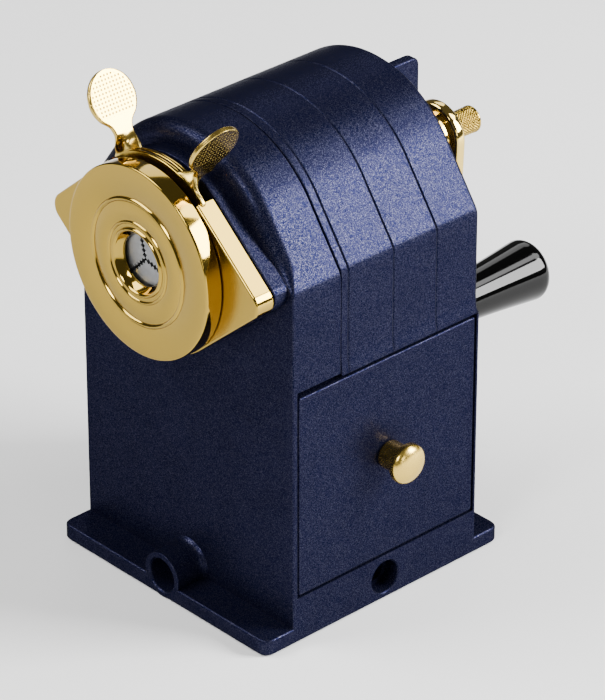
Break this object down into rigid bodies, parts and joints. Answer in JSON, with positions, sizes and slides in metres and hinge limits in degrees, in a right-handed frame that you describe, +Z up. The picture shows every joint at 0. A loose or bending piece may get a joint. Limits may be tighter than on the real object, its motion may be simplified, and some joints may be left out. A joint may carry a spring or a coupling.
{
  "type": "pencil sharpener",
  "caption": "Hand-cranked desk pencil sharpener with helical cutter, sprung three-jaw pencil carriage, finger levers and a shavings drawer.",
  "frame": {"origin": "centre of the base's flat underside", "axes": "+Z up; -Y is the front, where the pencil goes in; +X is the drawer's side; the crank is at +Y"},
  "size_m": [0.0673, 0.1058, 0.1074],
  "materials": {
    "navy_paint": "satin metallic powder coat",
    "gold_plate": "polished gold-coloured plate",
    "steel": "bright",
    "dark_steel": "blackened",
    "bronze": "sintered",
    "zinc_alloy": "as cast",
    "grey_plastic": "moulded",
    "black_plastic": "high gloss"
  },
  "bodies": {
    "frame": {"main_body": "navy_paint", "rear_hood": "navy_paint", "ring_gear": "steel", "base_plate": "dark_steel", "base_screw_1": "steel", "base_screw_2": "steel", "base_screw_3": "steel", "base_screw_4": "steel", "rear_bush": "bronze", "guide_bush_left": "bronze", "guide_bush_right": "bronze", "return_spring_left": "steel", "return_spring_right": "steel"},
    "drawer": {"drawer_front": "navy_paint", "drawer_tray": "grey_plastic", "drawer_knob": "gold_plate", "drawer_screw": "steel"},
    "crank": {"cutter_head": "zinc_alloy", "crankshaft": "steel", "thrust_washer": "steel", "crank_arm": "gold_plate", "handle_pin": "steel", "cutter_arbor": "steel"},
    "handle": {"crank_handle": "black_plastic"},
    "cutter": {"helical_cutter": "steel", "pinion_gear": "steel"},
    "adjuster": {"adjuster_knob": "gold_plate"},
    "stop": {"stop_pin": "steel"},
    "carriage": {"chuck_housing": "gold_plate", "cover_disc": "gold_plate", "guide_rod_left": "steel", "guide_rod_right": "steel", "rod_collar_left": "steel", "rod_collar_right": "steel", "jaw_pin_a": "steel", "jaw_pin_b": "steel", "jaw_pin_c": "steel"},
    "right_lever": {"right_lever": "gold_plate"},
    "left_lever": {"left_lever": "gold_plate"},
    "jaw_a": {"jaw_a": "steel"},
    "jaw_b": {"jaw_b": "steel"},
    "jaw_c": {"jaw_c": "steel"}
  },
  "joints": [
    {"name": "drawer_slide", "type": "slide", "parent": "frame", "child": "drawer", "axis": [1, 0, 0], "range_m": [0, 0.048]},
    {"name": "crank_turn", "type": "hinge", "parent": "frame", "child": "crank", "pos_m": [0, 0, 0.0756], "axis": [0, -1, 0], "continuous": true},
    {"name": "handle_spin", "type": "hinge", "parent": "crank", "child": "handle", "pos_m": [0, 0.04385, 0.0354], "axis": [0, 1, 0], "continuous": true},
    {"name": "cutter_spin", "type": "hinge", "parent": "crank", "child": "cutter", "pos_m": [0, 0.00115, 0.08291], "axis": [0, -0.9816, 0.1908], "continuous": true},
    {"name": "adjuster_turn", "type": "hinge", "parent": "crank", "child": "adjuster", "pos_m": [0, 0, 0.0756], "axis": [0, -1, 0], "range_deg": [0, 360]},
    {"name": "stop_slide", "type": "slide", "parent": "crank", "child": "stop", "axis": [0, -1, 0], "range_m": [0, 0.0014]},
    {"name": "carriage_slide", "type": "slide", "parent": "frame", "child": "carriage", "axis": [0, -1, 0], "range_m": [0, 0.022], "stiffness_N_per_m": 300, "springref_m": -0.01, "deforming": ["return_spring_left", "return_spring_right"]},
    {"name": "right_lever_turn", "type": "hinge", "parent": "carriage", "child": "right_lever", "pos_m": [0, 0, 0.0756], "axis": [0, -1, 0], "range_deg": [0, 12], "stiffness_Nm_per_rad": 0.05, "springref_deg": -20.05},
    {"name": "left_lever_turn", "type": "hinge", "parent": "carriage", "child": "left_lever", "pos_m": [0, 0, 0.0756], "axis": [0, -1, 0], "range_deg": [-12, 0]},
    {"name": "jaw_a_turn", "type": "hinge", "parent": "carriage", "child": "jaw_a", "pos_m": [0, -0.03385, 0.0846], "axis": [0, -1, 0], "range_deg": [0, 31]},
    {"name": "jaw_b_turn", "type": "hinge", "parent": "carriage", "child": "jaw_b", "pos_m": [-0.00779, -0.03385, 0.0711], "axis": [0, -1, 0], "range_deg": [0, 31]},
    {"name": "jaw_c_turn", "type": "hinge", "parent": "carriage", "child": "jaw_c", "pos_m": [0.00779, -0.03385, 0.0711], "axis": [0, -1, 0], "range_deg": [0, 31]}
  ],
  "couplings": [
    {"joint": "cutter_spin", "follows": "crank_turn", "ratio": -3},
    {"joint": "adjuster_turn", "follows": "stop_slide", "rad_per_m": 4487.5},
    {"joint": "left_lever_turn", "follows": "right_lever_turn", "ratio": -1},
    {"joint": "jaw_a_turn", "follows": "right_lever_turn", "ratio": 2.55},
    {"joint": "jaw_b_turn", "follows": "right_lever_turn", "ratio": 2.55},
    {"joint": "jaw_c_turn", "follows": "right_lever_turn", "ratio": 2.55}
  ]
}
